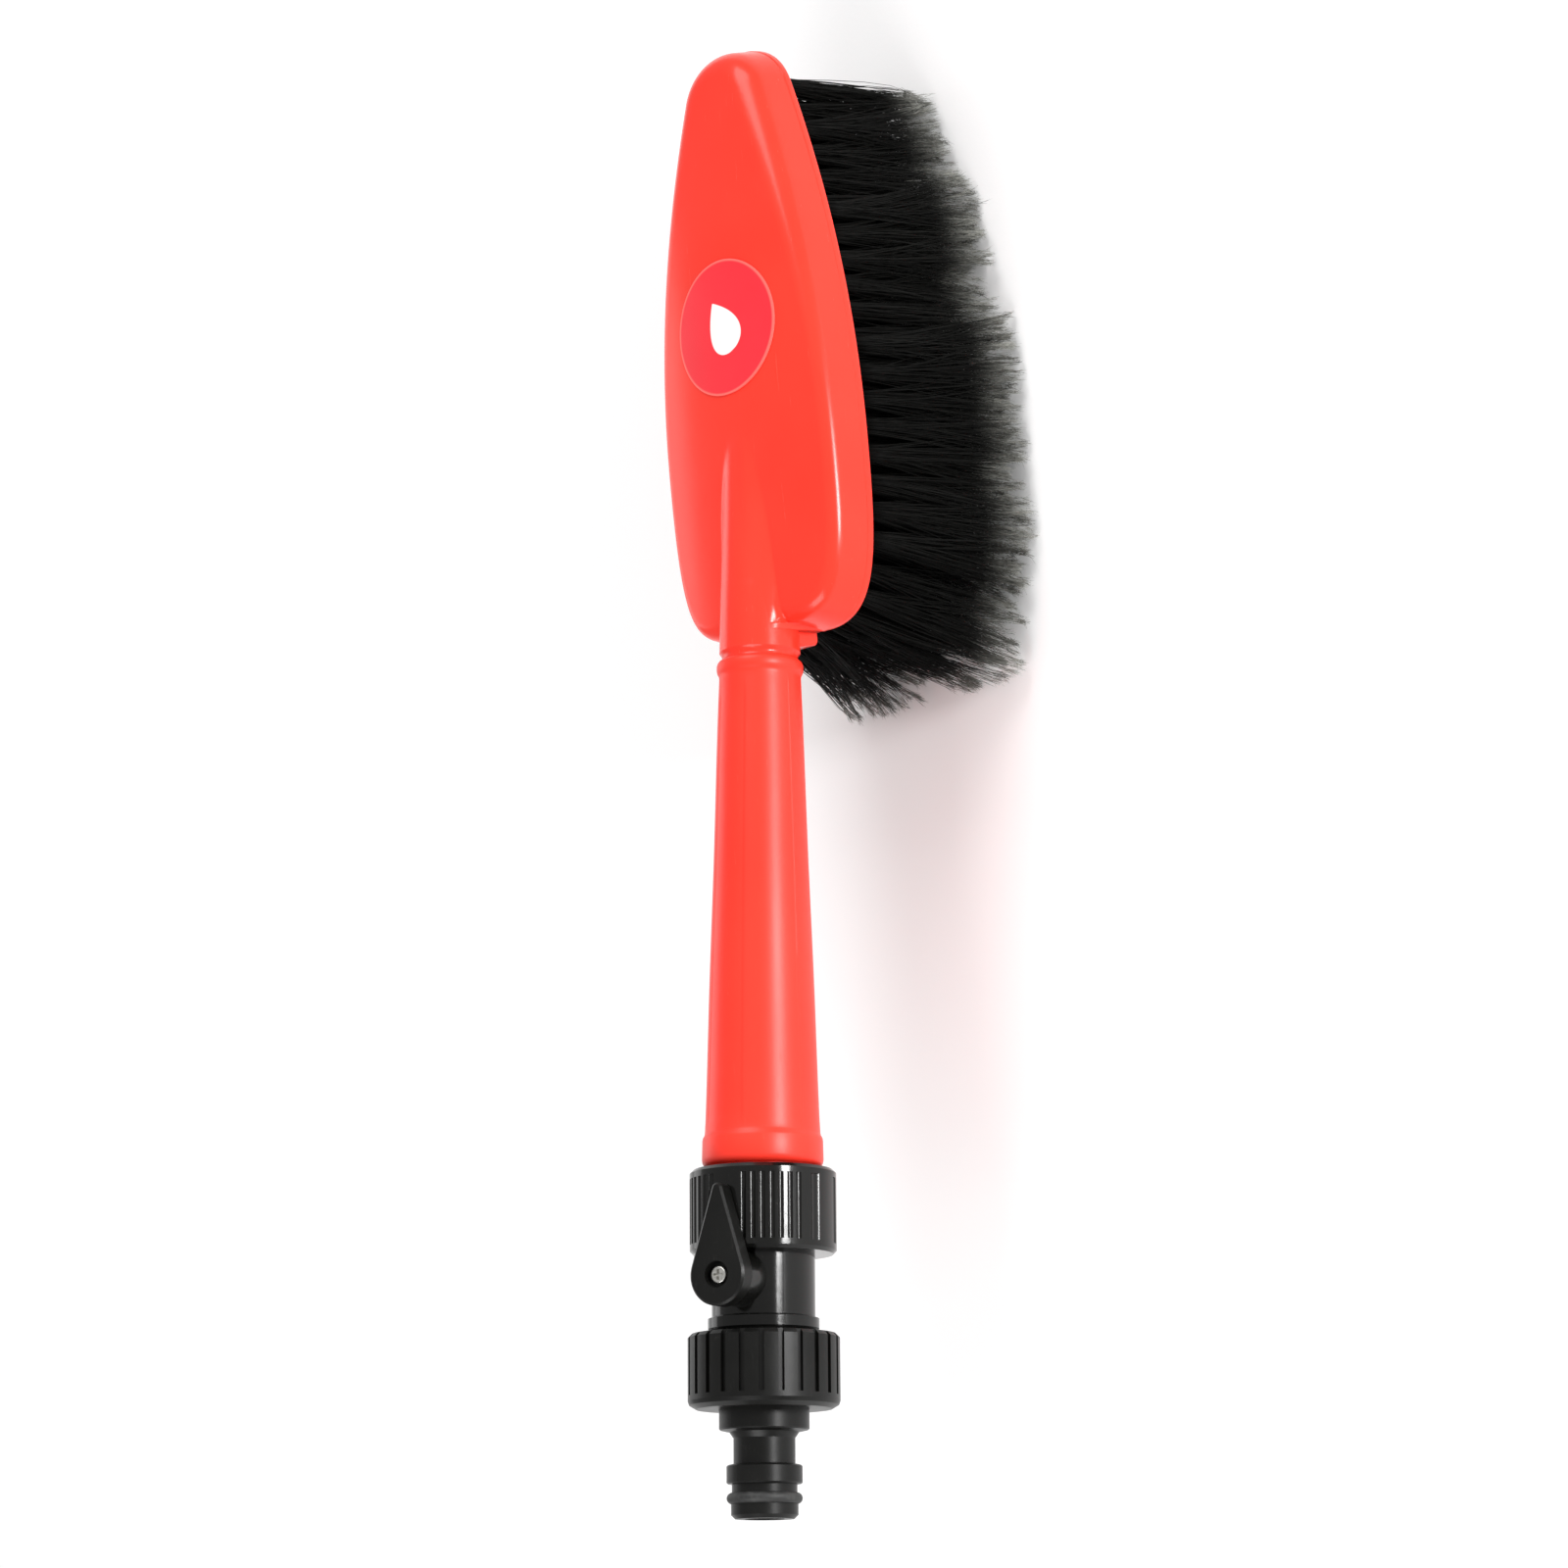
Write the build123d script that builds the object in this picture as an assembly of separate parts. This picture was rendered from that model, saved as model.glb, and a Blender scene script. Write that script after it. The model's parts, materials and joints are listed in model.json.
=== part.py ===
from build123d import *
from math import cos, radians, sin, tan
import os

# A hand-held wash brush: a hollow red head and handle, a ball valve and a click-fit hose nipple.
# The head lies level with its bristle tips on z = 0, +X points at the head's tip and +Z at its back.
# Pieces on the handle's axis are drawn along X from the nipple's end, then tilted into place.

# ---------------------------------------------------------------- driving sizes, mm and degrees
# Head, drawn from its heel (x = 0) and its rim (z = 0)
head_length = 143.5
head_half_width = 29.5
head_wall = 2.2
heel_flat_inset = 17.5          # the flat heel's end, in from the widest line
corner_inset = 1.5              # how square the heel corner is: smaller is squarer
widest_at = 42.0
flank_reach = 32.0              # how far the flank keeps its direction at each end
nose_radius = 15.0
nose_turn = 72.0                # where the round nose begins, degrees from the tip
crown_heel_height = 13.4
crown_top_height = 15.0
crown_tip_height = 11.8
crown_radius = 110.0            # across the back
shoulder_levels = [(8.2, 0.5), (10.4, 1.3), (12.0, 3.0), (13.2, 6.0), (15.4, 9.5)]  # height, inset
lip_height = 1.8                # the base plate's visible lip
plug_height = 3.2               # the base plate's plug, above the lip
plug_clearance = 0.15
seam_gap = 0.05
moulding_edge = 1.0             # edges of the red mouldings
heel_boss_depth = 3.2           # the squared boss under the neck, out from the heel
heel_boss_half_width = 7.7

# Bristles
bristle_length = 49.0
row_count = 9
row_pitch = 5.75
row_root_width = 4.4
row_tip_gap = 0.8
row_fan = 2.8                   # how much further each row leans than the one inside it, degrees
heel_splay = 15.0               # degrees
tip_splay = 4.0
row_margin = 2.9                # from the rim's outside to the bristles
row_probe_width = 0.2           # of the strip that finds where a row ends
tuft_pitch = 6.0
tuft_hole_radius = 1.4
tuft_hole_depth = 3.4
water_hole_radius = 1.2
water_hole_count = 7

# Badge
badge_radius = 16.3
badge_thickness = 0.4
badge_at = 74.0

# Handle's axis
handle_tilt = 6.0
axis_height_at_heel = 11.6      # above the rim

# Stations along the handle's axis, from the nipple's end
nut_start = 24.5
nut_end = 41.4
body_start = 45.2
collar_start = 59.4
collar_end = 78.6
pivot_at = 53.2
handle_end_gap = 0.7
band_end = 86.5
bead_start = 195.0
bead_end = 198.3
heel_at = 205.0
ridge_end = 266.0

# Handle
band_radius = 13.9
handle_foot_radius = 13.2
handle_top_radius = 9.6
handle_wall = 2.2
bead_radius = 10.1
waist_radius = 8.8
ridge_foot_radius = 9.4
ridge_tip_radius = 8.0
spigot_radius = 6.9
spigot_length = 18.0
spigot_bore = 4.6
seal_section = 0.9

# Threads of both screwed joints
thread_radius = 13.1
thread_depth = 1.1
thread_pitch = 1.814
thread_clearance = 0.35
washer_thickness = 2.0
washer_gap = 0.05
seat_gap = 0.35

# Valve
collar_radius = 16.8
ball_radius = 7.6
chamber_gap = 1.8               # between the ball's side and the chamber
body_wall = 2.4
shoulder_ring_height = 0.9
shoulder_ring_length = 2.7
collar_floor = 3.1
ball_bore = 4.6
ball_clearance = 0.06
seat_width = 2.9
seat_step = 0.6                 # how far the ball's poles stand past the seats
seat_lip = 0.6                  # the seats' hole over the ball's bore
valve_edge = 0.8
press_gap = 0.02
valve_clocking = 17.0           # the lever's axis, from the back towards -Y
boss_radius = 6.5
stem_radius = 3.2
stem_clearance = 0.06
stem_flange_radius = 3.9
stem_flange_thickness = 1.4
stem_seal_section = 0.6
drive_side = 4.4
drive_clearance = 0.04
tongue_width = 2.4
tongue_depth = 1.6
tongue_clearance = 0.08
panel_groove_count = 7
panel_groove_pitch = 7.4        # degrees
panel_groove_radius = 0.75
panel_groove_rise = 0.33        # the groove's centre over the collar
panel_centre = 36.4             # degrees either side of the lever's axis
panel_share = 0.78              # of the collar's length
flute_at = 74.7                 # a wide flute beside each panel, degrees from the lever's axis
flute_radius = 2.4
flute_rise = 2.0

# Lever
lever_gap = 0.4                 # above the collar
lever_thickness = 4.0
lever_hub_radius = 7.0
lever_reach = 20.6
lever_tip_radius = 1.3
lever_recess_radius = 3.0
lever_recess_depth = 2.2
lever_edge = 0.5
lever_web = 0.8                 # between the square socket and the screw's recess
screw_head_radius = 2.0
screw_head_height = 1.4
screw_shaft_radius = 1.0
screw_shaft_length = 5.0
screw_hole_depth = 6.0
screw_cross_width = 2.4
screw_slot_width = 0.6
screw_slot_depth = 0.8

# Hose adaptor
nut_radius = 17.3
nut_edge = 0.9
nut_floor = 2.8
nut_band = 3.0
rib_count = 24
rib_groove_width = 1.3
rib_groove_depth = 0.9
waterway_radius = 4.6
nipple_end_radius = 7.6
nipple_groove_radius = 7.4
nipple_rib_radius = 8.6
nipple_neck_radius = 7.0
nipple_collar_radius = 10.25
ring_at = 4.6
ring_section = 1.3
rib_start = 7.8
rib_end = 12.0
neck_end = 18.0
nipple_collar_start = 19.8

# ---------------------------------------------------------------- derived sizes
rim_height = bristle_length
chamber_radius = ball_radius + chamber_gap
body_radius = chamber_radius + body_wall
shoulder_ring_radius = body_radius + shoulder_ring_height
lever_base = collar_radius + lever_gap
boss_top = lever_base - lever_gap * 2
lever_top = lever_base + lever_thickness
nut_floor_at = nut_start + nut_floor
adaptor_thread_start = nut_floor_at + washer_thickness + seat_gap + washer_gap
socket_floor_at = collar_start + collar_floor
handle_thread_start = socket_floor_at + washer_thickness + seat_gap + washer_gap
handle_start = collar_end + handle_end_gap
socket_radius = thread_radius + thread_clearance
throat_at = pivot_at + ball_radius - seat_step
outlet_seat_start = throat_at - seat_width
inlet_seat_start = pivot_at - ball_radius + seat_step
plug_inset = head_wall + shoulder_levels[0][1] + plug_clearance
retainer_length = inlet_seat_start - adaptor_thread_start - thread_pitch
seat_hole = ball_bore + seat_lip


def level(piece):
    """Lift a piece drawn from the heel and the rim to its height over the bristle tips."""
    return Pos(0, 0, rim_height) * piece


def tilted(piece):
    """Put a piece drawn along the handle's axis onto the head: tilt it about the heel and lift it."""
    at_heel = Pos(-heel_at, 0, 0) * piece
    return Pos(0, 0, rim_height + axis_height_at_heel) * Rot(0, handle_tilt, 0) * at_heel


def turned(points):
    """A solid of revolution about the X axis, from its half section as (x, radius) points."""
    section = Plane.XZ * make_face(Polyline(*points, close=True))
    return revolve(section, Axis.X)


def ring_x(start, end, outer, inner):
    """A plain tube along X."""
    return turned([(start, inner), (end, inner), (end, outer), (start, outer)])


def o_ring_x(at, centre_radius, section_radius):
    """An O-ring about the X axis."""
    section = Plane.XZ * (Pos(at, centre_radius) * Circle(section_radius))
    return revolve(section, Axis.X)


def threaded(start, end, bore):
    """A male thread drawn as turned ridges: a tube with V grooves a pitch apart."""
    points = [(start, bore), (start, thread_radius - thread_depth)]
    ridge = start + thread_pitch / 2
    while ridge + thread_pitch / 2 < end:
        points.append((ridge - thread_pitch / 8, thread_radius))
        points.append((ridge + thread_pitch / 8, thread_radius))
        points.append((ridge + thread_pitch / 2, thread_radius - thread_depth))
        ridge += thread_pitch
    points.append((end, thread_radius - thread_depth))
    points.append((end, bore))
    return turned(points)


def on_lever_axis(piece):
    """Stand a piece drawn up Z on the lever's axis."""
    return Pos(pivot_at, 0, 0) * Rot(valve_clocking, 0, 0) * piece


# ---------------------------------------------------------------- head
def head_outline(inset=0.0):
    """The head's plan: a flat heel, full sides and a round nose, drawn in by the inset."""
    centre = head_length - nose_radius
    turn = radians(nose_turn)
    reach = nose_radius - inset
    nose_start = (centre + reach * cos(turn), reach * sin(turn))
    wide = head_half_width - inset
    heel_end = wide - heel_flat_inset + inset / 2
    corner = Bezier(
        (inset, heel_end),
        (inset, wide - corner_inset),
        (widest_at / 3, wide),
        (widest_at, wide),
    )
    taper = (nose_start[0] - flank_reach * sin(turn), nose_start[1] + flank_reach * cos(turn))
    flank = Bezier((widest_at, wide), (widest_at + flank_reach, wide), taper, nose_start)
    nose = ThreePointArc(nose_start, (head_length - inset, 0), (nose_start[0], -nose_start[1]))
    half = [corner, flank]
    other_half = [mirror(edge, Plane.XZ) for edge in half]
    heel = Line((inset, -heel_end), (inset, heel_end))
    return make_face([heel] + half + [nose] + other_half)


def crown_barrel(lift=0.0):
    """The back's surface as a barrel: its long curve swept round an axis under the head."""
    axis_z = crown_top_height - crown_radius
    past = head_wall * 4
    curve = Spline(
        (-past, crown_heel_height + lift),
        (widest_at, crown_top_height + lift),
        (head_length + past, crown_tip_height + lift),
    )
    sides = Polyline(curve @ 1, (head_length + past, axis_z), (-past, axis_z), curve @ 0)
    section = Plane.XZ * make_face([curve, sides])
    return revolve(section, Axis((0, 0, axis_z), (1, 0, 0)))


def head_form(inset=0.0, low=0.0):
    """The head's solid form, drawn in by the inset: near-upright sides, round shoulders, a crown."""
    levels = [Pos(0, 0, low) * head_outline(inset)]
    for height, step in shoulder_levels:
        levels.append(Pos(0, 0, height - inset) * head_outline(inset + step))
    return loft(levels, ruled=True) & crown_barrel(-inset)


def ridge_cone(inset, start, end):
    """The neck's cone that runs on into the back as a ridge, in the head's place."""
    slope = (ridge_tip_radius - ridge_foot_radius) / (ridge_end - heel_at)
    near = ridge_foot_radius + slope * (start - heel_at) - inset
    far = ridge_foot_radius + slope * (end - heel_at) - inset
    cone = turned([(start, 0), (end, 0), (end, far), (start, near)])
    return Pos(0, 0, axis_height_at_heel) * Rot(0, handle_tilt, 0) * (Pos(-heel_at, 0, 0) * cone)


def neck():
    """The waist between the handle's bead and the head, with the spigot that enters the handle."""
    spigot_end = bead_end + seam_gap
    start = spigot_end - spigot_length
    seal_at = start + spigot_length / 3
    points = [
        (start, 0),
        (start, spigot_radius - seal_section),
        (start + seal_section, spigot_radius),
        (seal_at - seal_section, spigot_radius),
        (seal_at - seal_section, spigot_radius - seal_section),
        (seal_at + seal_section, spigot_radius - seal_section),
        (seal_at + seal_section, spigot_radius),
        (spigot_end, spigot_radius),
        (spigot_end, waist_radius),
        (spigot_end + seal_section, waist_radius),
        (heel_at + head_wall, ridge_foot_radius),
        (heel_at + head_wall, 0),
    ]
    bore = ring_x(start - head_wall, heel_at + head_wall * 4, spigot_bore, 0)
    place = Pos(0, 0, axis_height_at_heel) * Rot(0, handle_tilt, 0) * Pos(-heel_at, 0, 0)
    return place * turned(points), place * bore


def head_shell():
    """The hollow back of the head in one moulding with its ridge, neck and spigot."""
    low = lip_height + seam_gap
    stem, bore = neck()
    under = Pos(head_length, 0, low - head_length) * Box(head_length * 2, head_length, head_length * 2)
    ridge = ridge_cone(0, heel_at - head_wall / 2, ridge_end) - under
    outer = head_form(0, low) + ridge + stem + heel_boss(low)
    hollow = head_form(head_wall, low) + (
        ridge_cone(head_wall, heel_at + head_wall, ridge_end) & crown_block()
    )
    return level(outer - hollow - bore)


def heel_boss(low):
    """The squared boss that fills the corner between the neck's cone and the rim."""
    depth = heel_boss_depth + head_wall / 2
    height = axis_height_at_heel - low
    block = Box(depth, heel_boss_half_width * 2, height)
    block = fillet(block.edges().filter_by(Axis.Z), moulding_edge / 2)
    return Pos(head_wall / 2 - depth / 2, 0, low + height / 2) * block


def crown_block():
    """Everything over the rim inside the head's plan, to keep the ridge's hollow inside the walls."""
    return extrude(head_outline(head_wall), amount=crown_top_height * 2)


def row_span(row):
    """Where a row of bristles starts and ends along X, inside the rim."""
    edge = abs(row) * row_pitch + row_root_width / 2
    strip = Pos(head_length / 2, edge) * Rectangle(head_length * 2, row_probe_width)
    inside = head_outline(row_margin) & strip
    box = inside.bounding_box()
    return box.min.X, box.max.X


def rows():
    """The row numbers, counted from the middle row."""
    half = row_count // 2
    return list(range(-half, row_count - half))


def base_plate():
    """The plate that closes the head: a lip flush with the sides, a plug inside them, and its holes."""
    lip = extrude(head_outline(), amount=lip_height)
    plug = extrude(head_outline(plug_inset), amount=lip_height + plug_height)
    holes = []
    for row in rows():
        start, end = row_span(row)
        count = int((end - start) / tuft_pitch)
        step = (end - start) / count
        for hole in range(count):
            at = Pos(start + (hole + 0.5) * step, row * row_pitch, tuft_hole_depth / 2)
            holes.append(at * Cylinder(tuft_hole_radius, tuft_hole_depth))
    start, end = row_span(1)
    step = (end - start) / water_hole_count
    depth = (lip_height + plug_height) * 2
    for hole in range(water_hole_count):
        at = Pos(start + (hole + 0.5) * step, row_pitch / 2, 0)
        holes.append(at * Cylinder(water_hole_radius, depth * 2))
    return level((lip + plug) - holes)


def bristle_row(row):
    """One row of bristles as a closed wedge that leans outwards and spreads towards its tips."""
    start, end = row_span(row)
    tip_pitch = row_pitch + 2 * bristle_length * sin(radians(row_fan) / 2)
    tip_width = tip_pitch - row_tip_gap
    root_drop = seam_gap + row_root_width / 2 * tan(radians(abs(row) * row_fan))
    root = Pos((start + end) / 2, 0, -root_drop) * Rectangle(end - start, row_root_width)
    low = start - bristle_length * tan(radians(heel_splay))
    high = end + bristle_length * tan(radians(tip_splay))
    tip = Pos((low + high) / 2, 0, -bristle_length) * Rectangle(high - low, tip_width)
    wedge = loft([tip, root])
    lean = Rot(row * row_fan, 0, 0)
    return level(Pos(0, row * row_pitch, 0) * lean * wedge)


def badge():
    """A thin round label that follows the back."""
    skin = crown_barrel(badge_thickness + press_gap) - crown_barrel(press_gap)
    disc = Pos(badge_at, 0, crown_top_height) * Cylinder(badge_radius, crown_top_height)
    return level(skin & disc)


def neck_seal():
    """The O-ring between the head's spigot and the handle."""
    seal_at = bead_end + seam_gap - spigot_length * 2 / 3
    return tilted(o_ring_x(seal_at, spigot_radius - seal_section / 2, seal_section / 2))


# ---------------------------------------------------------------- handle
def handle_tube():
    """The tapered hollow handle, with a thread for the valve and a bead at the neck."""
    lip = moulding_edge
    socket = spigot_radius + press_gap
    spigot_start = bead_end + seam_gap - spigot_length
    foot_bore = thread_radius - thread_depth - handle_wall
    outside = [
        (handle_start - lip, handle_foot_radius - thread_depth),
        (handle_start, band_radius - lip),
        (handle_start + lip, band_radius),
        (band_end - lip, band_radius - lip / 4),
        (band_end, handle_foot_radius + lip / 4),
        (band_end + lip * 2, handle_foot_radius),
        (bead_start - lip, handle_top_radius),
        (bead_start, bead_radius - lip / 4),
        (bead_start + lip, bead_radius),
        (bead_end - lip, bead_radius),
        (bead_end, bead_radius - lip / 2),
    ]
    inside = [
        (bead_end, socket),
        (spigot_start - seam_gap, socket),
        (spigot_start - seam_gap, spigot_bore),
        (spigot_start - handle_wall, spigot_bore),
        (spigot_start - handle_wall * 4, handle_top_radius - handle_wall),
        (band_end, handle_foot_radius - handle_wall),
        (handle_start, foot_bore),
        (handle_start - lip, foot_bore),
    ]
    tube = turned(outside + inside)
    return tilted(tube + threaded(handle_thread_start, handle_start - lip, foot_bore))


# ---------------------------------------------------------------- valve
def socket_washer():
    """The flat washer between the valve's socket and the handle's end."""
    start = socket_floor_at + washer_gap
    outer = socket_radius - thread_clearance
    return tilted(ring_x(start, start + washer_thickness, outer, ball_radius))


def panel_grooves():
    """The round grooves between the ribs of the collar's four gripping panels, and four flutes."""
    grooves = []
    length = (collar_end - collar_start) * panel_share
    half = (panel_groove_count - 1) / 2
    for centre in (panel_centre, -panel_centre, 180 + panel_centre, 180 - panel_centre):
        for number in range(panel_groove_count):
            angle = centre + (number - half) * panel_groove_pitch
            grooves.append(collar_cutter(angle, length, panel_groove_radius, panel_groove_rise))
    for angle in (flute_at, -flute_at, 180 + flute_at, 180 - flute_at):
        grooves.append(collar_cutter(angle, length, flute_radius, flute_rise))
    return grooves


def collar_cutter(angle, length, radius, rise):
    """A round bar laid along the collar at an angle from the lever's axis."""
    middle = (collar_start + collar_end) / 2
    bar = Rot(0, 90, 0) * Cylinder(radius, length)
    return Pos(middle, 0, 0) * Rot(valve_clocking + angle, 0, 0) * Pos(0, 0, collar_radius + rise) * bar


def valve_body():
    """The valve's body: the collar that screws on the handle, the ball's chamber and a male end."""
    edge = valve_edge
    ring_start = body_start - shoulder_ring_length
    outside = [
        (ring_start - edge, chamber_radius),
        (ring_start - edge, shoulder_ring_radius - edge),
        (ring_start, shoulder_ring_radius),
        (body_start - edge / 2, shoulder_ring_radius),
        (body_start, body_radius),
        (collar_start, body_radius),
        (collar_start, collar_radius - edge),
        (collar_start + edge, collar_radius),
        (collar_end - edge, collar_radius),
        (collar_end, collar_radius - edge),
        (collar_end, socket_radius),
        (socket_floor_at, socket_radius),
        (socket_floor_at, ball_bore),
        (throat_at, ball_bore),
        (throat_at, chamber_radius),
    ]
    shape = turned(outside) + threaded(adaptor_thread_start, ring_start, chamber_radius)
    boss = on_lever_axis(Pos(0, 0, boss_top / 2) * Cylinder(boss_radius, boss_top))
    shape = shape + (boss - ring_x(0, socket_floor_at, chamber_radius, 0))
    hole = Cylinder(stem_radius + stem_clearance, boss_top * 2)
    pocket_depth = chamber_radius + stem_clearance
    pocket = Pos(0, 0, pocket_depth / 2) * Cylinder(stem_flange_radius + stem_clearance, pocket_depth)
    upper = Pos(0, 0, boss_top) * hole
    shape = shape - on_lever_axis(upper) - on_lever_axis(pocket)
    return tilted(shape - panel_grooves())


def valve_ball():
    """The ball with its waterway and the slot that the stem turns it by."""
    ball = Pos(pivot_at, 0, 0) * Sphere(ball_radius - ball_clearance)
    ball = ball - ring_x(pivot_at - ball_radius * 2, pivot_at + ball_radius * 2, ball_bore, 0)
    slot = Box(ball_radius * 2, tongue_width, tongue_depth * 2)
    return tilted(ball - on_lever_axis(Pos(0, 0, ball_radius) * slot))


def ball_seat(start):
    """A seat ring, hollowed to the ball."""
    depth = chamber_radius - press_gap - seat_hole
    block = Pos(start + seat_width / 2, seat_hole + depth / 2) * Rectangle(seat_width, depth)
    section = Plane.XZ * (block - Pos(pivot_at, 0) * Circle(ball_radius))
    return tilted(revolve(section, Axis.X))


def seat_retainer():
    """The sleeve that holds the inlet seat."""
    end = inlet_seat_start - press_gap
    return tilted(ring_x(end - retainer_length, end, chamber_radius - press_gap, seat_hole))


def valve_stem():
    """The stem: a tongue in the ball, a flange under the boss, two seal grooves and a square drive."""
    flange_top = chamber_radius
    flange_bottom = flange_top - stem_flange_thickness
    tongue_bottom = ball_radius - tongue_depth + tongue_clearance
    tongue = Pos(0, 0, (tongue_bottom + flange_bottom) / 2) * Box(
        stem_radius * 2, tongue_width - 2 * tongue_clearance, flange_bottom - tongue_bottom
    )
    flange = Pos(0, 0, (flange_bottom + flange_top) / 2) * Cylinder(
        stem_flange_radius, stem_flange_thickness
    )
    shank = Pos(0, 0, (flange_top + boss_top) / 2) * Cylinder(stem_radius, boss_top - flange_top)
    drive_top = lever_top - lever_recess_depth - seam_gap - lever_web
    drive = Pos(0, 0, (boss_top + drive_top) / 2) * Box(drive_side, drive_side, drive_top - boss_top)
    stem = tongue + flange + shank + drive
    for at in stem_seal_heights():
        groove = Cylinder(stem_radius * 2, stem_seal_section * 2) - Cylinder(
            stem_radius - stem_seal_section, stem_seal_section * 2
        )
        stem = stem - Pos(0, 0, at) * groove
    hole = Pos(0, 0, drive_top - screw_hole_depth / 2) * Cylinder(
        screw_shaft_radius + press_gap, screw_hole_depth
    )
    return tilted(on_lever_axis(stem - hole))


def stem_seal_heights():
    """The two O-rings' places on the stem."""
    span = boss_top - chamber_radius
    return [chamber_radius + span / 3, chamber_radius + span * 2 / 3]


def stem_seals():
    """Two O-rings in the stem's grooves."""
    rings = []
    for at in stem_seal_heights():
        section = stem_seal_section / 2
        ring = Pos(0, 0, at) * Torus(stem_radius - section, section)
        rings.append(tilted(on_lever_axis(ring)))
    return Compound(rings)


# ---------------------------------------------------------------- lever
def lever():
    """The teardrop lever: a round hub with a square socket, and an arm that runs to a small tip."""
    hub = Circle(lever_hub_radius)
    tip = Pos(lever_reach - lever_tip_radius, 0) * Circle(lever_tip_radius)
    plan = make_hull(hub.edges() + tip.edges())
    blade = Pos(0, 0, lever_base) * extrude(plan, amount=lever_thickness)
    blade = chamfer(blade.faces().sort_by(Axis.Z)[-1].edges(), lever_edge)
    recess = Pos(0, 0, lever_top) * Cylinder(lever_recess_radius, lever_recess_depth * 2)
    side = drive_side + 2 * drive_clearance
    socket_height = lever_thickness - lever_web - lever_recess_depth + seam_gap
    socket = Pos(0, 0, lever_base + socket_height / 2) * Box(side, side, socket_height)
    passage = Pos(0, 0, lever_top) * Cylinder(
        screw_shaft_radius + drive_clearance, lever_thickness * 2
    )
    return tilted(on_lever_axis(blade - recess - socket - passage))


def lever_screw():
    """The cross-headed screw that holds the lever on its stem."""
    seat = lever_top - lever_recess_depth
    head = Pos(0, 0, seat + screw_head_height / 2) * Cylinder(screw_head_radius, screw_head_height)
    head = fillet(head.faces().sort_by(Axis.Z)[-1].edges(), screw_head_height / 3)
    shaft = Pos(0, 0, seat - screw_shaft_length / 2) * Cylinder(screw_shaft_radius, screw_shaft_length)
    top = seat + screw_head_height
    arm = Box(screw_cross_width, screw_slot_width, screw_slot_depth * 2)
    cross = Pos(0, 0, top) * arm + Pos(0, 0, top) * Rot(0, 0, 90) * arm
    return tilted(on_lever_axis(head + shaft - cross))


# ---------------------------------------------------------------- hose adaptor
def adaptor_washer():
    """The flat washer in the bottom of the adaptor's nut."""
    start = nut_floor_at + washer_gap
    outer = socket_radius - thread_clearance
    return tilted(ring_x(start, start + washer_thickness, outer, ball_radius))


def hose_adaptor():
    """The ribbed nut and the click-fit hose nipple, in one moulding."""
    edge = nut_edge
    groove = ring_section
    outside = [
        (0, waterway_radius),
        (0, nipple_end_radius - edge),
        (edge, nipple_end_radius),
        (ring_at - groove, nipple_end_radius),
        (ring_at - groove, nipple_rib_radius - 2 * ring_section),
        (ring_at + groove, nipple_rib_radius - 2 * ring_section),
        (ring_at + groove, nipple_groove_radius),
        (rib_start, nipple_groove_radius),
        (rib_start, nipple_rib_radius - edge / 3),
        (rib_start + edge / 3, nipple_rib_radius),
        (rib_end - edge / 3, nipple_rib_radius),
        (rib_end, nipple_rib_radius - edge / 3),
        (rib_end + edge / 3, nipple_neck_radius),
        (neck_end, nipple_neck_radius),
        (nipple_collar_start - edge / 2, nipple_neck_radius + edge),
        (nipple_collar_start, nipple_collar_radius - edge / 3),
        (nipple_collar_start + edge / 3, nipple_collar_radius),
        (nut_start, nipple_collar_radius),
        (nut_start, nut_radius - edge * 2),
        (nut_start + edge, nut_radius - edge / 3),
        (nut_start + edge * 2, nut_radius),
        (nut_end - edge, nut_radius),
        (nut_end, nut_radius - edge),
        (nut_end, socket_radius),
        (nut_floor_at, socket_radius),
        (nut_floor_at, waterway_radius),
    ]
    shape = turned(outside)
    length = nut_end - nut_start - nut_band
    cutters = []
    for number in range(rib_count):
        cutter = Box(length * 2, rib_groove_width, rib_groove_depth * 2)
        place = Rot(number * 360 / rib_count, 0, 0) * Pos(nut_end, 0, nut_radius)
        cutters.append(place * cutter)
    return tilted(shape - cutters)


def nipple_o_ring():
    """The O-ring that seals the hose connector."""
    return tilted(o_ring_x(ring_at, nipple_rib_radius - ring_section, ring_section - press_gap))


# ---------------------------------------------------------------- assembly
def pieces():
    """Every piece by name, in its place over the heel."""
    made = {
        "head_shell": head_shell(),
        "base_plate": base_plate(),
        "badge": badge(),
        "neck_seal": neck_seal(),
        "handle_tube": handle_tube(),
        "socket_washer": socket_washer(),
        "valve_body": valve_body(),
        "valve_ball": valve_ball(),
        "outlet_seat": ball_seat(outlet_seat_start),
        "inlet_seat": ball_seat(inlet_seat_start),
        "seat_retainer": seat_retainer(),
        "valve_stem": valve_stem(),
        "stem_seals": stem_seals(),
        "lever": lever(),
        "lever_screw": lever_screw(),
        "adaptor_washer": adaptor_washer(),
        "hose_adaptor": hose_adaptor(),
        "nipple_o_ring": nipple_o_ring(),
    }
    for number, row in enumerate(rows(), start=1):
        made[f"bristle_row_{number}"] = bristle_row(row)
    return made


def main():
    """Centre the brush over its box in X, stand it on its bristle tips and write each piece."""
    os.makedirs("parts", exist_ok=True)
    made = pieces()
    boxes = [piece.bounding_box() for piece in made.values()]
    low_x = min(box.min.X for box in boxes)
    high_x = max(box.max.X for box in boxes)
    low_z = min(box.min.Z for box in boxes)
    shift = Pos(-(low_x + high_x) / 2, 0, -low_z)
    for name, piece in made.items():
        export_step(shift * piece, f"parts/{name}.step")


main()
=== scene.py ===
import json
import math

import bmesh
import bpy
import numpy as np
from mathutils import Matrix, Vector


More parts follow.
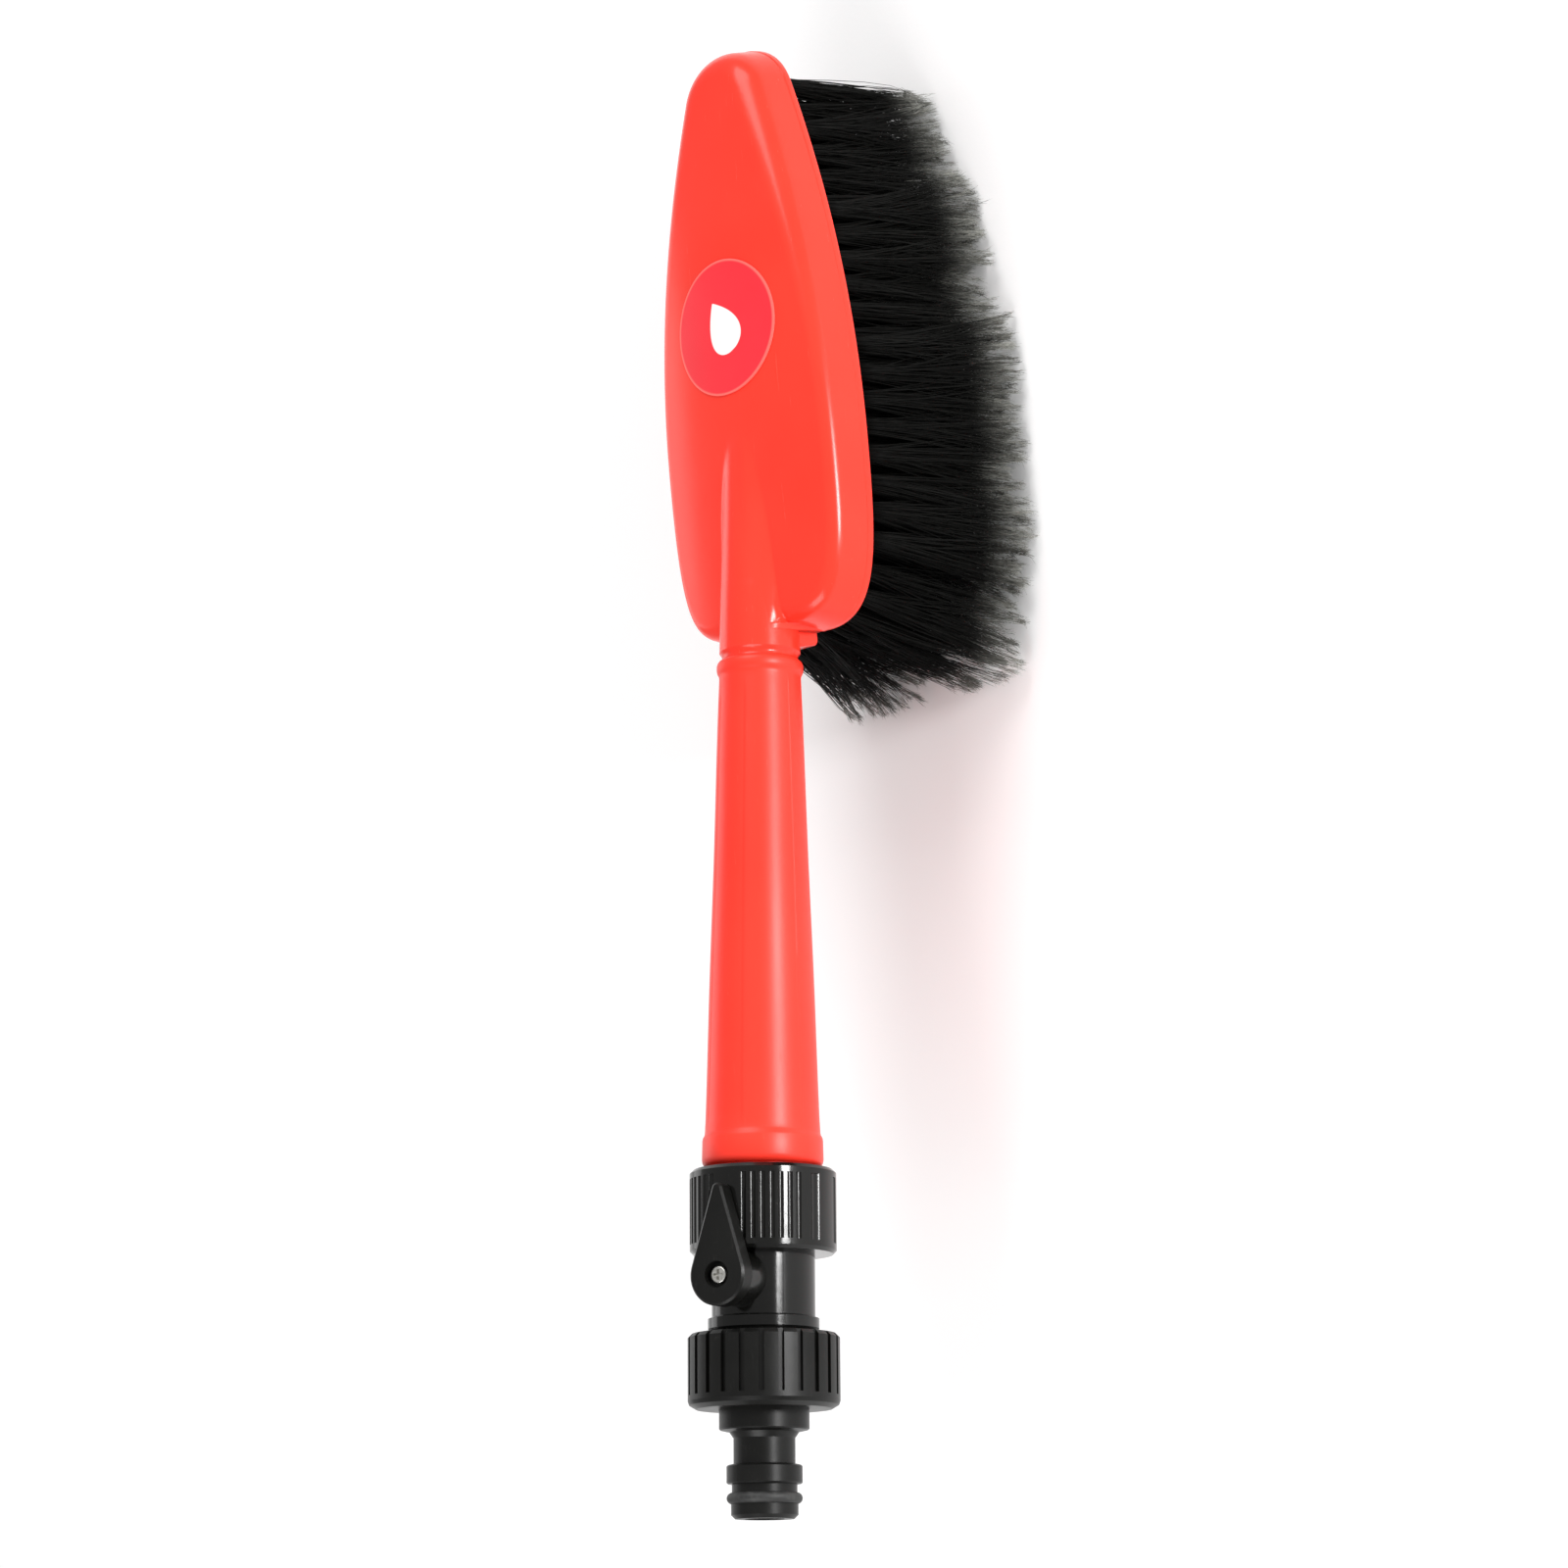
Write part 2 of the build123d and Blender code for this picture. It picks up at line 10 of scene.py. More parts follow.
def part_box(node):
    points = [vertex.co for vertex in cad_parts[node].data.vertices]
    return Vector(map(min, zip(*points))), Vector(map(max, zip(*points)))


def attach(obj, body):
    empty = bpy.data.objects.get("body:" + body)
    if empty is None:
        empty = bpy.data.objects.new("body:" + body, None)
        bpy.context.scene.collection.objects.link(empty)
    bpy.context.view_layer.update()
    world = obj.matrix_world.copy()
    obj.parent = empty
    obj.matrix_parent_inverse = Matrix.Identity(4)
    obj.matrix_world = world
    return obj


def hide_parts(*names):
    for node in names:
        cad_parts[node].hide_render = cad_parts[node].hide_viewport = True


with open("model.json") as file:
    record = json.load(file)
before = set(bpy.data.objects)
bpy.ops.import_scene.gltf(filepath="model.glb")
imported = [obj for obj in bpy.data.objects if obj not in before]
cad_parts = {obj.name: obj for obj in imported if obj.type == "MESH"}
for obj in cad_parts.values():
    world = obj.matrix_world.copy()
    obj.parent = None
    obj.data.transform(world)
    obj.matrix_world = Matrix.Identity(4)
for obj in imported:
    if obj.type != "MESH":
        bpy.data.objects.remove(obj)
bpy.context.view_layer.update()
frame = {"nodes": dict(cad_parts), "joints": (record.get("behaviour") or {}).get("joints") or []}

MM = 0.001
TAU = 2.0 * math.pi

# ---------------------------------------------------------------- places taken from the frame
plate_low, plate_high = (np.array(corner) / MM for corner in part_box("base_plate"))
HEEL_X, RIM_Z = plate_low[0], plate_low[2]
HEAD_LENGTH = plate_high[0] - plate_low[0]
HALF_WIDTH = plate_high[1]
joints = {joint["name"]: joint for joint in frame["joints"]}
PIVOT = np.array(joints["valve_turn"]["pos_m"]) / MM
OUT = np.array(joints["valve_turn"]["axis"])          # along the handle, away from the head
PIVOT_AT = 53.2                                       # the ball's centre, from the nipple's end
ALONG = -OUT / np.linalg.norm(OUT)
SIDE = np.array([0.0, 1.0, 0.0])
BACK = np.cross(ALONG, SIDE)
TILT = math.atan2(-ALONG[2], ALONG[0])

# ---------------------------------------------------------------- sizes, in millimetres
# the head's plan
HEEL_FLAT_INSET = 17.5       # from the flank to where the flat heel ends
CORNER_INSET = 1.5
WIDEST_AT = 42.0
FLANK_REACH = 32.0           # of the flank cubic's inner control points
NOSE_RADIUS = 15.0
NOSE_TURN = math.radians(72.0)
# the head's section
LIP = 1.85                   # the plate's lip that the rim stands on
WALL = 2.2
DRAFT = 1.1
SKIRT = -0.3                 # the rim's inset: below zero, it stands outside the plate's lip
SHOULDER = 4.2
NOSE_SHOULDER_MORE = 3.4     # the shoulder is rounder towards the nose
CROWN_CENTRE = 95.0          # depth of the crown circle's centre below the rim
CROWN_SPINE_START = 14.0     # where the crown's middle line starts
AROUND = 560                 # points round the head
# the neck and its ridge on the head
AXIS_HEIGHT = 11.6           # the handle's axis over the rim, at the heel
HEEL_AT = 205.0              # the heel, from the nipple's end
RIDGE_FOOT = 9.4             # the ridge's radius at the heel
RIDGE_SLOPE = -0.023
# the boss under the neck
BOSS_DEPTH = 3.1
BOSS_HALF_WIDTH = 7.7
BOSS_CORNER = 1.3
BOSS_TOP = 8.0
# the handle
FOOT_AT = 88.5               # where the taper starts, at the foot band
FOOT_RADIUS = 13.2
BEAD_AT = 194.0              # where the taper ends, at the bead
BEAD_RADIUS = 9.6
THREAD_PITCH = 1.814
THREAD_ROOT = 12.0
THREAD_DEPTH = 1.1
# the bristles
BRISTLE_LENGTH = 49.0
ROWS = 9
ROW_PITCH = 5.75
ROW_FAN = math.radians(2.8)
ROW_LEAN = 1.2               # how far strands lean out, in row fans
ROW_MARGIN = 2.9
ROW_ROOT_HALF = 2.2
TUFT_PITCH = 6.0
TUFT_RADIUS = 1.35
STRANDS_PER_TUFT = 126
STRANDS_PER_WISP = 9
STRAND_RADIUS = (0.10, 0.15)
HAIR_RADIUS = 0.05
TIP_SPREAD = 4.6             # half a row's width at its tips
TIP_REACH = 37.4             # the furthest a tip stands from the middle
NOSE_CLEAR = 6.5             # tips stop this far short of the nose
FLOOR_CLEAR = 0.35
FORWARD_FAN = 13.0           # how far outer rows fan towards the nose
LOCK_PITCH = 3.1
STRAY_SHARE = 0.02


# ---------------------------------------------------------------- mesh helpers
def mesh_piece(name, points, faces):
    """A smooth-shaded object from points in millimetres and faces as rows of corner numbers."""
    mesh = bpy.data.meshes.new(name)
    mesh.from_pydata(points * MM, [], faces.tolist())
    mesh.polygons.foreach_set("use_smooth", np.ones(len(mesh.polygons), dtype=bool))
    mesh.update()
    piece = bpy.data.objects.new(name, mesh)
    bpy.context.scene.collection.objects.link(piece)
    return piece


def grid_faces(rows, columns, start=0, wrap=True, flip=False):
    """Quads of a grid of points, row after row, closed round its columns where wrap is set."""
    row, column = np.meshgrid(np.arange(rows - 1), np.arange(columns if wrap else columns - 1),
                              indexing="ij")
    after = (column + 1) % columns
    quads = np.stack([row * columns + column, row * columns + after,
                      (row + 1) * columns + after, (row + 1) * columns + column], axis=-1)
    quads = quads.reshape(-1, 4) + start
    return quads[:, ::-1] if flip else quads


def tidy_mesh(piece, distance=0.00001):
    """Merge doubles and turn every face outwards."""
    work = bmesh.new()
    work.from_mesh(piece.data)
    bmesh.ops.remove_doubles(work, verts=work.verts, dist=distance)
    bmesh.ops.dissolve_degenerate(work, edges=work.edges, dist=distance / 10)
    bmesh.ops.recalc_face_normals(work, faces=work.faces)
    work.to_mesh(piece.data)
    work.free()
    piece.data.polygons.foreach_set("use_smooth", np.ones(len(piece.data.polygons), dtype=bool))


def sharp_by_angle(piece, degrees=35.0):
    """Shade smooth with a split where two faces meet more sharply than the angle."""
    bpy.context.view_layer.objects.active = piece
    piece.select_set(True)
    piece.data.set_sharp_from_angle(angle=math.radians(degrees))
    piece.select_set(False)


def on_axis(station, radius, angle):
    """Points about the handle's axis: a station along it, a radius and an angle from the back."""
    centre = PIVOT + (station - PIVOT_AT)[..., None] * ALONG
    across = np.cos(angle)[..., None] * BACK + np.sin(angle)[..., None] * SIDE
    return centre + radius[..., None] * across


def turned(name, profile, segments, relief=None):
    """A closed solid of revolution about the handle's axis: its section's (station, radius) points
    are carried round in equal steps, and relief(station, angle, radius) is added to the radius."""
    profile = np.array(profile, dtype=float)
    angle = np.arange(segments) * TAU / segments
    station = np.repeat(profile[:, 0][:, None], segments, axis=1)
    radius = np.repeat(profile[:, 1][:, None], segments, axis=1)
    turn = np.repeat(angle[None, :], len(profile), axis=0)
    if relief is not None:
        radius = radius + relief(station, turn, radius)
    points = on_axis(station, radius, turn).reshape(-1, 3)
    faces = grid_faces(len(profile) + 1, segments) % (len(profile) * segments)
    piece = mesh_piece(name, points, faces)
    tidy_mesh(piece)
    sharp_by_angle(piece)
    return piece


def eased(low, high, value):
    """A smooth step from 0 at low to 1 at high."""
    share = np.clip((value - low) / (high - low), 0.0, 1.0)
    return share * share * (3.0 - 2.0 * share)


# ---------------------------------------------------------------- shader helpers
class Value:
    """A socket that Python's arithmetic works on: each operator adds one Math node."""

    def __init__(self, shader, socket):
        self.shader = shader
        self.socket = socket

    def _math(self, operation, first, second=None):
        values = {0: first} if second is None else {0: first, 1: second}
        return self.shader.node("ShaderNodeMath", {"operation": operation}, values)[0]

    def __add__(self, other):
        return self._math("ADD", self, other)

    def __radd__(self, other):
        return self._math("ADD", other, self)

    def __sub__(self, other):
        return self._math("SUBTRACT", self, other)

    def __rsub__(self, other):
        return self._math("SUBTRACT", other, self)

    def __mul__(self, other):
        return self._math("MULTIPLY", self, other)

    def __rmul__(self, other):
        return self._math("MULTIPLY", other, self)

    def __pow__(self, other):
        return self._math("POWER", self, other)

    def within(self, low, high):
        """The value held between two limits."""
        return self._math("MINIMUM", self._math("MAXIMUM", self, low), high)

    def smooth_between(self, low, high):
        """0 below low and 1 above high, eased between them."""
        settings = {"interpolation_type": "SMOOTHSTEP"}
        return self.shader.node("ShaderNodeMapRange", settings, {0: self, 1: low, 2: high})[0]


class Shader:
    """One material with a Principled shader, and one method that adds any other node."""

    def __init__(self, name, **constants):
        self.material = bpy.data.materials.new(name)
        self.material.use_nodes = True
        self.nodes = self.material.node_tree.nodes
        self.links = self.material.node_tree.links
        self.principled = self.nodes["Principled BSDF"]
        self.set(self.principled, constants)

    def set(self, node, values):
        """Give a node's sockets their numbers, colours or links."""
        for key, value in values.items():
            socket = node.inputs[key]
            if isinstance(value, Value):
                self.links.new(value.socket, socket)
            else:
                socket.default_value = value

    def node(self, kind, settings=None, values=None):
        """Add a node, set it, feed its sockets, and return its outputs as values."""
        node = self.nodes.new(kind)
        for key, value in (settings or {}).items():
            if key == "stops":
                ramp = node.color_ramp
                while len(ramp.elements) < len(value):
                    ramp.elements.new(0.5)
                for element, (place, colour) in zip(ramp.elements, value):
                    element.position = place
                    element.color = (*colour, 1.0)
            else:
                setattr(node, key, value)
        self.set(node, values or {})
        return [Value(self, socket) for socket in node.outputs]

    def place(self):
        """The piece's own coordinates, in metres."""
        return self.node("ShaderNodeTexCoord")[3]

    def noise(self, scale, detail=3.0, roughness=0.5, at=None):
        """Noise from 0 to 1 with features of 1 / scale metres."""
        values = {"Vector": at or self.place(), "Scale": scale, "Detail": detail,
                  "Roughness": roughness}
        return self.node("ShaderNodeTexNoise", {}, values)[0]

    def stretched(self, scale):
        """The piece's coordinates scaled unevenly, for streaks."""
        return self.node("ShaderNodeMapping", {}, {"Vector": self.place(), "Scale": scale})[0]

    def mix(self, factor, first, second):
        """A colour between two others."""
        outputs = self.node("ShaderNodeMix", {"data_type": "RGBA"}, {0: factor, 6: first, 7: second})
        return outputs[2]

    def bump(self, height, distance, strength=1.0, normal=None):
        """A bumped normal from a height in 0 to 1 and its depth in metres."""
        values = {"Height": height, "Distance": distance, "Strength": strength}
        if normal is not None:
            values["Normal"] = normal
        return self.node("ShaderNodeBump", {}, values)[0]

    def feed(self, **inputs):
        """Feed the Principled shader's varying sockets."""
        names = {"colour": "Base Color", "roughness": "Roughness", "normal": "Normal"}
        self.set(self.principled, {names[key]: value for key, value in inputs.items()})


def colour(red, green, blue):
    """An opaque linear colour."""
    return (red, green, blue, 1.0)


def moulded_red(name, gloss):
    """Red polypropylene: faint flow clouding, handling haze, fine grain and hairline rubs, over a
    skin as smooth as its gloss from 0 to 1."""
    shader = Shader(name, **{"IOR": 1.35})
    cloud = shader.noise(28.0, 3.0)
    flow = shader.noise(9.0, 2.0, at=shader.stretched((0.35, 1.0, 1.0)))
    rubs = shader.noise(60.0, 5.0, 0.65, at=shader.stretched((1.0, 22.0, 22.0)))
    grain = shader.noise(2600.0, 2.0)
    warm = shader.mix(flow.smooth_between(0.3, 0.7), colour(0.88, 0.033, 0.017),
                      colour(0.93, 0.043, 0.024))
    base = shader.mix(cloud.smooth_between(0.35, 0.75) * 0.5, warm, colour(0.84, 0.028, 0.014))
    worn = rubs.smooth_between(0.62, 0.74)
    base = shader.mix(worn * 0.06, base, colour(1.0, 0.25, 0.17))
    roughness = 0.37 - 0.20 * gloss + cloud * 0.08 + worn * 0.10
    fine = shader.bump(grain, 0.00002, 0.35)
    soft = shader.bump(shader.noise(140.0, 2.0), 0.00008, 0.30, fine)
    shader.feed(colour=base, roughness=roughness, normal=shader.bump(rubs, 0.00002, 0.35, soft))
    return shader.material


def moulded_black(name, gloss):
    """Black nylon: dust specks scattered at random, light scuffs and grain, over a skin as smooth as
    its gloss from 0 to 1."""
    shader = Shader(name, **{"IOR": 1.29 + 0.09 * gloss})
    cloud = shader.noise(90.0, 4.0, 0.6)
    dust = shader.noise(700.0, 4.0, 0.7)
    scuffs = shader.noise(180.0, 6.0, 0.7, at=shader.stretched((1.0, 9.0, 9.0)))
    grain = shader.noise(3600.0, 2.0)
    base = shader.mix(cloud, colour(0.0025, 0.0025, 0.0022), colour(0.006, 0.006, 0.0054))
    base = shader.mix(dust.smooth_between(0.62, 0.80) * 0.25, base, colour(0.050, 0.047, 0.043))
    mark = scuffs.smooth_between(0.60, 0.75)
    base = shader.mix(mark * 0.22, base, colour(0.05, 0.05, 0.048))
    roughness = 0.33 - 0.23 * gloss + cloud * (0.18 - 0.12 * gloss) + mark * 0.08
    fine = shader.bump(grain, 0.00003, 0.5 - 0.35 * gloss)
    shader.feed(colour=base, roughness=roughness,
                normal=shader.bump(shader.noise(260.0, 3.0), 0.00006, 0.5 - 0.2 * gloss, fine))
    return shader.material


def seal_rubber():
    """Black nitrile rubber with a dull bloom."""
    shader = Shader("seal_rubber", **{"IOR": 1.52})
    bloom = shader.noise(420.0, 5.0, 0.65)
    base = shader.mix(bloom.smooth_between(0.4, 0.8), colour(0.012, 0.012, 0.012),
                      colour(0.045, 0.045, 0.043))
    shader.feed(colour=base, roughness=0.45 + bloom * 0.30,
                normal=shader.bump(shader.noise(1800.0, 3.0), 0.00003, 0.6))
    return shader.material


def pale_plastic():
    """White acetal: slightly yellow, with turning-fine grain."""
    shader = Shader("pale_plastic", **{"IOR": 1.48})
    cloud = shader.noise(300.0, 3.0)
    base = shader.mix(cloud, colour(0.80, 0.79, 0.74), colour(0.88, 0.87, 0.83))
    shader.feed(colour=base, roughness=0.35 + cloud * 0.15,
                normal=shader.bump(shader.noise(2400.0, 3.0), 0.00003, 0.5))
    return shader.material


def screw_steel():
    """Zinc-plated steel: bright, with grain and darker specks."""
    shader = Shader("screw_steel", **{"Metallic": 1.0})
    speck = shader.noise(1500.0, 4.0, 0.7)
    base = shader.mix(speck.smooth_between(0.45, 0.75), colour(0.62, 0.61, 0.58),
                      colour(0.34, 0.33, 0.30))
    shader.feed(colour=base, roughness=0.26 + speck * 0.20,
                normal=shader.bump(shader.noise(3200.0, 3.0), 0.00002, 0.5))
    return shader.material


def bristle_fibre():
    """Soft black fibre: near black at the root, dusty grey where its end is flagged."""
    shader = Shader("bristle_fibre", **{"IOR": 1.30, "Specular IOR Level": 0.22})
    uv = shader.node("ShaderNodeUVMap", {"uv_map": "UVMap"})[0]
    parts = shader.node("ShaderNodeSeparateXYZ", {}, {"Vector": uv})
    strand, along = parts[0], parts[1]
    streak = shader.noise(220.0, 2.0)
    dark = shader.mix(strand, colour(0.0016, 0.0016, 0.0013), colour(0.005, 0.005, 0.0043))
    tip = shader.mix(strand, colour(0.07, 0.07, 0.062), colour(0.42, 0.42, 0.38))
    flagged = along.smooth_between(0.68, 1.02) * (0.25 + streak * 1.0)
    shader.feed(colour=shader.mix(flagged, dark, tip), roughness=0.42 + along * 0.16)
    return shader.material


def label_film(centre, radius):
    """The round label: crimson film with a plain white drop and a paler ring painted round its edge as
    a highlight. The drop's half width is the root of its height's share times the rest of that share."""
    shader = Shader("label_film", **{"IOR": 1.40})
    parts = shader.node("ShaderNodeSeparateXYZ", {}, {"Vector": shader.place()})
    turn = math.radians(25.0)
    x = (parts[0] - centre[0]) * (1.0 / radius)
    y = (parts[1] - centre[1]) * (1.0 / radius)
    up = x * math.cos(turn) + y * math.sin(turn)
    across = y * math.cos(turn) - x * math.sin(turn)
    share = ((up + 0.42) * (1.0 / 0.86)).within(0.0, 1.0)
    width = share ** 0.5 * (1.0 - share) * 0.80
    drop = (width - (across * across) ** 0.5).smooth_between(-0.006, 0.006)
    drop = drop * share.smooth_between(0.0, 0.01) * (1.0 - share).smooth_between(0.0, 0.02)
    out = (x * x + y * y) ** 0.5
    # painted highlight: a paler ring laid all round the label's edge
    rim = out.smooth_between(0.955, 0.985)
    noise = shader.noise(60.0, 3.0)
    film = shader.mix(noise, colour(0.82, 0.018, 0.030), colour(0.88, 0.026, 0.042))
    inked = shader.mix(drop, film, colour(0.88, 0.84, 0.82))
    inked = shader.mix(rim * 0.6, inked, colour(0.98, 0.22, 0.18))
    shader.feed(colour=inked, roughness=0.30 + noise * 0.12,
                normal=shader.bump(shader.noise(900.0, 2.0), 0.00002, 0.4))
    return shader.material


def floor_paper():
    """A pale matt sweep with the faintest mottling."""
    shader = Shader("floor_paper")
    cloud = shader.noise(6.0, 4.0)
    base = shader.mix(cloud, colour(0.90, 0.90, 0.90), colour(0.94, 0.94, 0.94))
    shader.feed(colour=base, roughness=0.75 + cloud * 0.1,
                normal=shader.bump(shader.noise(900.0, 3.0), 0.00008, 0.3))
    return shader.material


# ---------------------------------------------------------------- the head
def bezier(controls, steps):
    """A cubic through its four control points."""
    share = np.linspace(0.0, 1.0, steps)[:, None]
    first, second, third, fourth = (np.array(point, dtype=float) for point in controls)
    return (first * (1 - share) ** 3 + 3 * second * share * (1 - share) ** 2
            + 3 * third * share ** 2 * (1 - share) + fourth * share ** 3)


def head_outline(inset=0.0, count=360):
    """The head's plan, equally spaced round from the middle of the heel: flat heel, corner cubic,
    flank cubic and round nose, then the same mirrored."""
    centre = HEAD_LENGTH - NOSE_RADIUS
    reach = NOSE_RADIUS - inset
    nose_start = (centre + reach * math.cos(NOSE_TURN), reach * math.sin(NOSE_TURN))
    wide = HALF_WIDTH - inset
    heel_end = wide - HEEL_FLAT_INSET + inset / 2
    corner = bezier([(inset, heel_end), (inset, wide - CORNER_INSET), (WIDEST_AT / 3, wide),
                     (WIDEST_AT, wide)], 120)
    taper = (nose_start[0] - FLANK_REACH * math.sin(NOSE_TURN),
             nose_start[1] + FLANK_REACH * math.cos(NOSE_TURN))
    flank = bezier([(WIDEST_AT, wide), (WIDEST_AT + FLANK_REACH, wide), taper, nose_start], 160)
    turn = np.linspace(NOSE_TURN, 0.0, 60)
    nose = np.stack([centre + reach * np.cos(turn), reach * np.sin(turn)], axis=1)
    half = np.concatenate([[(inset, 0.0)], corner, flank[1:], nose[1:]])
    loop = np.concatenate([half, (half * (1, -1))[-2:0:-1], [(inset, 0.0)]])
    length = np.concatenate([[0.0], np.cumsum(np.linalg.norm(np.diff(loop, axis=0), axis=1))])
    spaced = np.arange(count) * length[-1] / count
    return np.stack([np.interp(spaced, length, loop[:, 0]), np.interp(spaced, length, loop[:, 1])],
                    axis=1)


def ridge_height(x, y):
    """The neck's cone seen as a height: its tilted axis plus the root of radius squared less y
    squared, and far below where it doesn't reach."""
    radius = RIDGE_FOOT + RIDGE_SLOPE * x
    axis = AXIS_HEIGHT - math.tan(TILT) * x
    inside = radius ** 2 - y ** 2
    above = np.sqrt(np.maximum(inside, 0.0))
    below = 4.0 * np.sqrt(np.maximum(-inside, 0.0))
    return axis + above - below


def crown_height(x, y):
    """The back over the rim without its ridge: a parabola along the head swept round a wide circle
    across it."""
    middle = 13.4 + 0.0315 * (x + 8.8) - 0.000376 * (x + 8.8) * (x - 42.0)
    return np.sqrt((middle + CROWN_CENTRE) ** 2 - y ** 2) - CROWN_CENTRE


def back_height(x, y, lower=0.0):
    """The back over the rim: the higher of crown and ridge, with a rounded valley between them that
    is tight on the far side and broad on the near one."""
    crown = crown_height(x, y) - lower
    ridge = ridge_height(x, y) - lower
    blend = 0.45 + 3.2 * eased(1.0, -4.0, y) * eased(62.0, 25.0, x)
    return np.maximum(crown, ridge) + np.maximum(blend - np.abs(crown - ridge), 0.0) ** 2 / (4 * blend)


def inward(loop, inset):
    """The outline moved in along its own normals."""
    tangent = np.roll(loop, -1, axis=0) - np.roll(loop, 1, axis=0)
    tangent /= np.linalg.norm(tangent, axis=1)[:, None]
    normal = np.stack([tangent[:, 1], -tangent[:, 0]], axis=1)
    return loop + normal * np.reshape(inset, (-1, 1))


def head_rings(loop, foot, lower, shoulder, upright, crown):
    """Rings from the rim up the side, round the shoulder and over the back to the middle line."""
    inside = crown_height(*inward(loop, DRAFT + shoulder + 0.5).T)
    slope = np.arctan(np.maximum(inside - crown_height(*inward(loop, DRAFT + shoulder).T), 0.0) / 0.5)
    first = np.arctan((DRAFT - SKIRT) / 7.5)
    last = math.pi / 2 - slope
    reach = DRAFT + shoulder * (math.cos(first) - np.cos(last))
    edge = inward(loop, reach)
    top = crown_height(*edge.T) - lower - shoulder * (np.sin(last) - math.sin(first))
    rings = []
    for share in np.linspace(0.0, 1.0, upright):
        flat = inward(loop, SKIRT + (DRAFT - SKIRT) * share)
        rings.append(np.column_stack([flat, foot + (top - foot) * share]))
    for share in np.linspace(0.0, 1.0, 18)[1:]:
        angle = first + (last - first) * share
        flat = inward(loop, DRAFT + shoulder * (math.cos(first) - np.cos(angle)))
        rings.append(np.column_stack([flat, top + shoulder * (np.sin(angle) - math.sin(first))]))
    spine = np.column_stack([np.clip(edge[:, 0], CROWN_SPINE_START, HEAD_LENGTH - NOSE_RADIUS - 3.0),
                             np.zeros(len(edge))])
    for share in np.linspace(0.0, 1.0, crown)[1:]:
        flat = edge + (spine - edge) * share
        rings.append(np.column_stack([flat, back_height(*flat.T, lower)]))
    rings = np.array(rings)
    heights = back_height(rings[:, :, 0], rings[:, :, 1], lower)
    ridge = ridge_height(rings[:, :, 0], rings[:, :, 1]) - lower
    near_heel = (rings[:, :, 0] < 30.0) & (ridge > rings[:, :, 2] + 0.4)
    rings[:, :, 2] = np.where(near_heel, heights, rings[:, :, 2])
    return rings


def head_shell():
    """The hollow back: outer rings over the back, inner rings under it, joined round the rim."""
    loop = head_outline(0.0, AROUND)
    shoulder = SHOULDER + NOSE_SHOULDER_MORE * eased(50.0, 135.0, loop[:, 0])
    outer = head_rings(loop, 0.25, 0.0, shoulder, 10, 76)
    skirt = [(inward(loop, -0.05), LIP), (inward(loop, -0.05), 0.2), (inward(loop, -0.2), 0.1)]
    rim = [np.column_stack([flat, np.full(AROUND, height)]) for flat, height in skirt]
    inner_loop = inward(loop, WALL)
    inner = head_rings(inner_loop, LIP, WALL, shoulder - 1.0, 4, 14)
    rings = np.concatenate([inner[::-1], np.array(rim), outer])
    points = rings.reshape(-1, 3) + (HEEL_X, 0.0, RIM_Z)
    piece = mesh_piece("head_back", points, grid_faces(len(rings), AROUND))
    tidy_mesh(piece, 0.000004)
    return piece


def neck():
    """The neck: spigot, waist, cone and the cone's hidden end inside the head."""
    stations = np.linspace(200.4, HEEL_AT + 10.0, 40)
    cone = [(s, RIDGE_FOOT + RIDGE_SLOPE * (s - HEEL_AT) + 0.02) for s in stations]
    profile = [
        (180.5, 4.6), (180.5, 6.2), (181.2, 6.85), (185.4, 6.85), (185.6, 6.1), (187.2, 6.1),
        (187.4, 6.85), (198.3, 6.85), (198.35, 9.1), (198.6, 8.95), (199.2, 8.9), (199.9, 9.1),
        *cone,
        (HEEL_AT + 20.0, 8.4), (HEEL_AT + 24.0, 7.9), (HEEL_AT + 24.5, 6.0), (HEEL_AT + 24.5, 4.6),
    ]
    return turned("neck_cone", profile, 200)


def heel_boss():
    """The squared boss under the neck: a rounded rectangle carried up from the rim into the cone,
    its end face sloping out as it rises."""
    heights = np.array([0.1, 0.35, 3.0, 6.0, BOSS_TOP, BOSS_TOP])
    grow = np.array([-0.3, 0.0, 0.0, 0.0, -0.3, -3.0])
    turn = np.linspace(0.0, math.pi / 2, 7)
    points = []
    for height, more in zip(heights, grow):
        reach = BOSS_DEPTH + 0.12 * height + more
        half = BOSS_HALF_WIDTH + more - 0.06 * height
        arc = np.column_stack([-reach + BOSS_CORNER - BOSS_CORNER * np.cos(turn),
                               half - BOSS_CORNER + BOSS_CORNER * np.sin(turn)])
        far = np.column_stack([[2.0], [half]])
        ring = np.concatenate([arc, far, (far * (1, -1)), (arc * (1, -1))[::-1]])
        points.append(np.column_stack([ring, np.full(len(ring), height)]))
    rings = np.array(points)
    count = rings.shape[1]
    centre_low = np.full((1, count, 3), (-0.5, 0.0, 0.1))
    centre_high = np.full((1, count, 3), (-0.5, 0.0, BOSS_TOP))
    rings = np.concatenate([centre_low, rings, centre_high])
    piece = mesh_piece("heel_boss", rings.reshape(-1, 3) + (HEEL_X, 0.0, RIM_Z),
                       grid_faces(len(rings), count))
    tidy_mesh(piece)
    sharp_by_angle(piece, 50.0)
    return piece


def joined(name, *parts):
    """Several meshes made one piece."""
    bpy.ops.object.select_all(action="DESELECT")
    for part in parts:
        part.select_set(True)
    bpy.context.view_layer.objects.active = parts[0]
    bpy.ops.object.join()
    parts[0].name = name
    parts[0].select_set(False)
    return parts[0]


